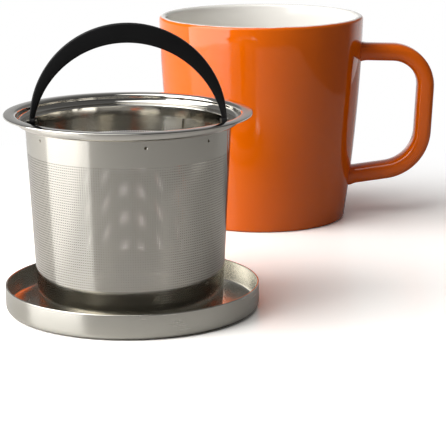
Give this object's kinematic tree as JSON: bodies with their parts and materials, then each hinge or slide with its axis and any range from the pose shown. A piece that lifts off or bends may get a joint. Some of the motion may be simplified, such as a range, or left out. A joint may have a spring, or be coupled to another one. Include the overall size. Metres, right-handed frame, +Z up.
{
  "type": "lidded tea mug with infuser",
  "caption": "Glazed tea mug with a loop handle, a lift-out perforated steel infuser basket with a folding bail, and a loose shallow steel lid that serves as a drip dish.",
  "frame": {"origin": "centre of the underside of the lid, which lies upturned on the table with the infuser standing in it", "axes": "+Z up, +X towards the side the mug's handle points to, +Y from the infuser towards the row of the mug"},
  "size_m": [0.1896, 0.264, 0.1143],
  "materials": {
    "glaze": "glossy orange glaze outside, white inside",
    "satin_steel": "satin, fine turned grain",
    "polished_steel": "polished",
    "etched_steel": "satin sheet with fine etched holes",
    "black_nylon": "fine moulded texture"
  },
  "bodies": {
    "mug": {"mug_body": "glaze", "mug_handle": "glaze"},
    "lid": {"lid_pan": "satin_steel"},
    "infuser": {"infuser_rim": "polished_steel", "basket_wall": "etched_steel", "basket_floor": "etched_steel", "pivot_pin_left": "polished_steel", "pivot_pin_right": "polished_steel"},
    "bail": {"bail_handle": "black_nylon"}
  },
  "joints": [
    {"name": "lid_lift", "type": "slide", "parent": "mug", "child": "lid", "axis": [0, 0, 1], "range_m": [0, 0.06]},
    {"name": "infuser_lift", "type": "slide", "parent": "lid", "child": "infuser", "axis": [0, 0, 1], "range_m": [0, 0.09]},
    {"name": "bail_fold", "type": "hinge", "parent": "infuser", "child": "bail", "pos_m": [-0.0007, 0.0002, 0.0753], "axis": [1, 0, 0], "range_deg": [-90, 90]}
  ]
}
